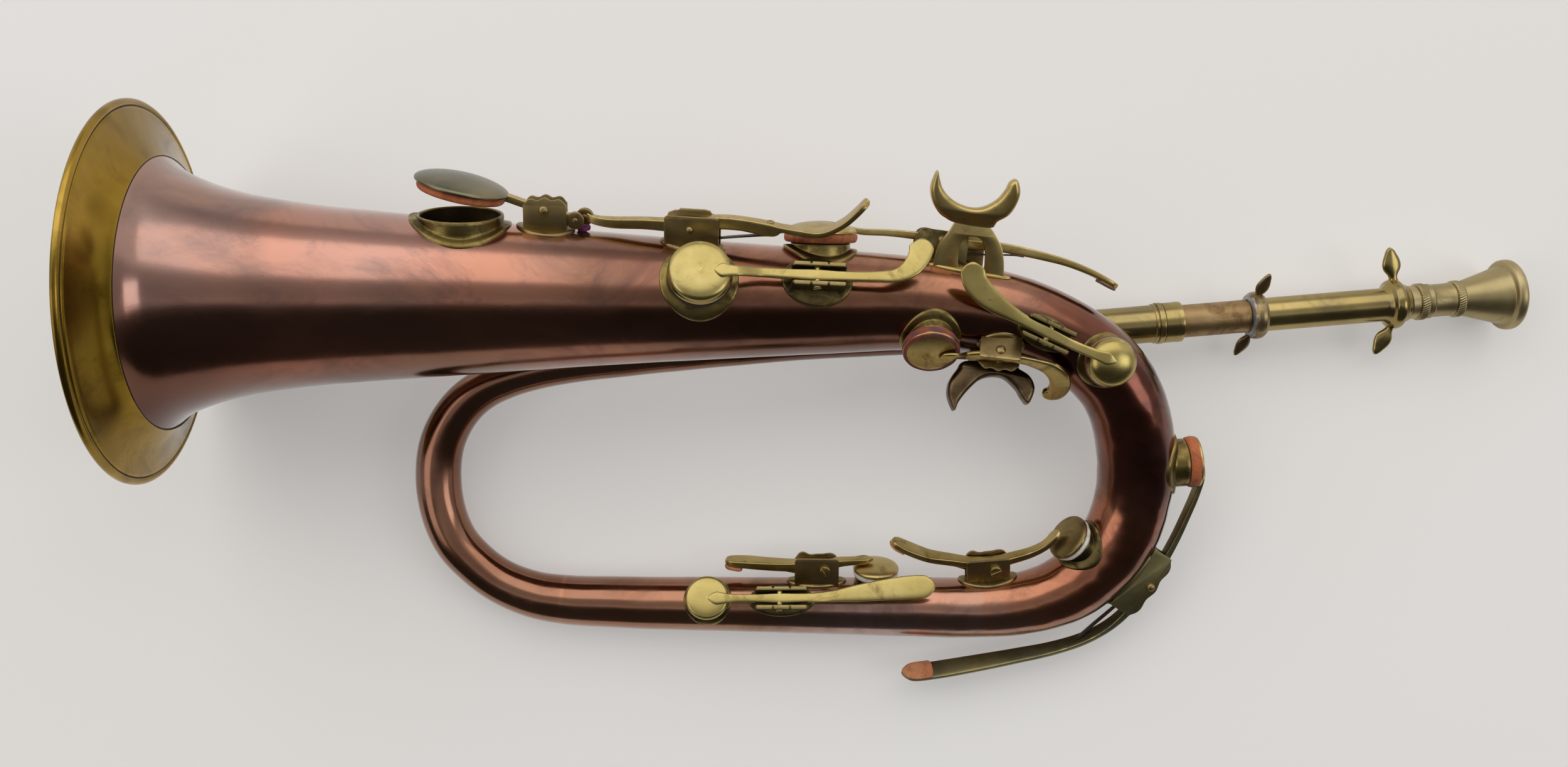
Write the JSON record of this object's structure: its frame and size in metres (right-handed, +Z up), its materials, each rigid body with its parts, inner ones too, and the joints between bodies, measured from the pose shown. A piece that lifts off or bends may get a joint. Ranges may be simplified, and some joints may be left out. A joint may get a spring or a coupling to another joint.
{
  "type": "keyed bugle",
  "caption": "Conical copper tube folded once into a loop, with a brass bell garland, sprung hinged keys over tone holes, finger crescents, a tuning slide and a cup mouthpiece.",
  "frame": {"origin": "middle of the footprint, on the surface that the instrument lies on", "axes": "+X runs from the bell to the mouthpiece, +Y across the loop towards the wide tube, +Z up from the table"},
  "size_m": [0.5786, 0.2406, 0.1485],
  "materials": {
    "copper": "polished copper with brown patina",
    "bell_brass": "aged brass with dark stains",
    "key_brass": "polished yellow brass",
    "saddle_brass": "tarnished brass",
    "slide_brass": "worn brass",
    "mouthpiece_brass": "matt olive brass",
    "red_leather": "orange-red leather",
    "dark_leather": "dark red leather",
    "white_leather": "white leather"
  },
  "bodies": {
    "instrument_body": {"bell_garland": "bell_brass", "main_tube": "copper", "right_bow": "copper", "lower_branch": "copper", "left_bow_and_leadpipe": "copper", "receiver": "slide_brass", "upper_finger_crescent": "key_brass", "lower_finger_crescent": "key_brass", "bell_key_chimney": "key_brass", "key_2_chimney": "key_brass", "key_3_chimney": "key_brass", "key_4_chimney": "key_brass", "key_5_chimney": "key_brass", "key_6_chimney": "key_brass", "key_7_chimney": "key_brass", "key_8_chimney": "key_brass", "key_9_chimney": "key_brass", "bell_key_cup_saddle": "saddle_brass", "bell_key_cup_pivot_screw": "saddle_brass", "bell_key_touch_saddle": "saddle_brass", "bell_key_touch_pivot_screw": "saddle_brass", "key_2_saddle": "saddle_brass", "key_2_pivot_screw": "saddle_brass", "key_3_saddle": "saddle_brass", "key_3_pivot_screw": "saddle_brass", "key_4_saddle": "saddle_brass", "key_4_pivot_screw": "saddle_brass", "key_5_saddle": "saddle_brass", "key_5_pivot_screw": "saddle_brass", "key_6_saddle": "saddle_brass", "key_6_pivot_screw": "saddle_brass", "key_7_saddle": "saddle_brass", "key_7_pivot_screw": "saddle_brass", "key_8_saddle": "saddle_brass", "key_8_pivot_screw": "saddle_brass", "key_9_saddle": "saddle_brass", "key_9_pivot_screw": "saddle_brass"},
    "bell_key_cup_arm": {"bell_key_cup_lever": "key_brass", "bell_key_pad": "red_leather"},
    "bell_key_touch_arm": {"bell_key_touch_lever": "key_brass"},
    "key_2_arm": {"key_2_lever": "key_brass", "key_2_pad": "dark_leather"},
    "key_3_arm": {"key_3_lever": "key_brass", "key_3_pad": "red_leather"},
    "key_4_arm": {"key_4_lever": "key_brass", "key_4_pad": "dark_leather"},
    "key_5_arm": {"key_5_lever": "key_brass", "key_5_pad": "dark_leather"},
    "key_6_arm": {"key_6_lever": "key_brass", "key_6_pad": "red_leather"},
    "key_7_arm": {"key_7_lever": "key_brass", "key_7_pad": "white_leather"},
    "key_8_arm": {"key_8_lever": "key_brass", "key_8_pad": "white_leather"},
    "key_9_arm": {"key_9_lever": "key_brass", "key_9_pad": "white_leather"},
    "tuning_slide": {"slide_tube": "slide_brass", "lower_pull_collar": "slide_brass", "slide_sleeve": "slide_brass"},
    "mouthpiece_body": {"mouthpiece": "mouthpiece_brass"}
  },
  "joints": [
    {"name": "key_2_hinge", "type": "hinge", "parent": "instrument_body", "child": "key_2_arm", "pos_m": [-0.01691, 0.05238, 0.07657], "axis": [0.0134, 0.9641, -0.2652], "range_deg": [0, 9], "stiffness_Nm_per_rad": 0.12, "springref_deg": -11.46},
    {"name": "key_3_hinge", "type": "hinge", "parent": "instrument_body", "child": "key_3_arm", "pos_m": [0.03458, 0.06938, 0.04939], "axis": [-0.0219, 0.1564, -0.9875], "range_deg": [0, 8], "stiffness_Nm_per_rad": 0.12, "springref_deg": -11.46},
    {"name": "key_4_hinge", "type": "hinge", "parent": "instrument_body", "child": "key_4_arm", "pos_m": [0.07523, 0.03001, 0.06726], "axis": [-0.4173, -0.9062, -0.0684], "range_deg": [0, 8], "stiffness_Nm_per_rad": 0.12, "springref_deg": -11.46},
    {"name": "key_5_hinge", "type": "hinge", "parent": "instrument_body", "child": "key_5_arm", "pos_m": [0.05699, 0.02107, 0.06022], "axis": [-0.0384, 0.5984, 0.8003], "range_deg": [0, 8], "stiffness_Nm_per_rad": 0.12, "springref_deg": -11.46},
    {"name": "key_6_hinge", "type": "hinge", "parent": "instrument_body", "child": "key_6_arm", "pos_m": [0.12817, -0.07685, 0.01946], "axis": [-0.0209, 0.2028, -0.979], "range_deg": [0, 5.5], "stiffness_Nm_per_rad": 0.12, "springref_deg": -11.46},
    {"name": "key_7_hinge", "type": "hinge", "parent": "instrument_body", "child": "key_7_arm", "pos_m": [0.06119, -0.06794, 0.02082], "axis": [0.0135, -0.5512, 0.8343], "range_deg": [0, 8], "stiffness_Nm_per_rad": 0.12, "springref_deg": -11.46},
    {"name": "key_8_hinge", "type": "hinge", "parent": "instrument_body", "child": "key_8_arm", "pos_m": [-0.01216, -0.06922, 0.01948], "axis": [-0.0117, -0.342, 0.9396], "range_deg": [0, 7], "stiffness_Nm_per_rad": 0.12, "springref_deg": -11.46},
    {"name": "key_9_hinge", "type": "hinge", "parent": "instrument_body", "child": "key_9_arm", "pos_m": [-0.03174, -0.08144, 0.02947], "axis": [-0.0033, 0.9529, -0.3034], "range_deg": [0, 5.5], "stiffness_Nm_per_rad": 0.12, "springref_deg": -11.46},
    {"name": "bell_key_cup_hinge", "type": "hinge", "parent": "instrument_body", "child": "bell_key_cup_arm", "pos_m": [-0.12425, 0.07902, 0.07129], "axis": [0.0886, -0.3243, 0.9418], "range_deg": [0, 12.3]},
    {"name": "bell_key_touch_hinge", "type": "hinge", "parent": "instrument_body", "child": "bell_key_touch_arm", "pos_m": [-0.06656, 0.07206, 0.0696], "axis": [0.0873, 0.4052, -0.9101], "range_deg": [0, 3.75], "stiffness_Nm_per_rad": 0.35, "springref_deg": -5.73},
    {"name": "tuning_slide_travel", "type": "slide", "parent": "instrument_body", "child": "tuning_slide", "axis": [0.9965, 0.0825, -0.0123], "range_m": [-0.022, 0.016]},
    {"name": "mouthpiece_pull", "type": "slide", "parent": "tuning_slide", "child": "mouthpiece_body", "axis": [0.9965, 0.0825, -0.0123], "range_m": [0, 0.025]}
  ],
  "couplings": [
    {"joint": "bell_key_cup_hinge", "follows": "bell_key_touch_hinge", "ratio": 3.27}
  ]
}
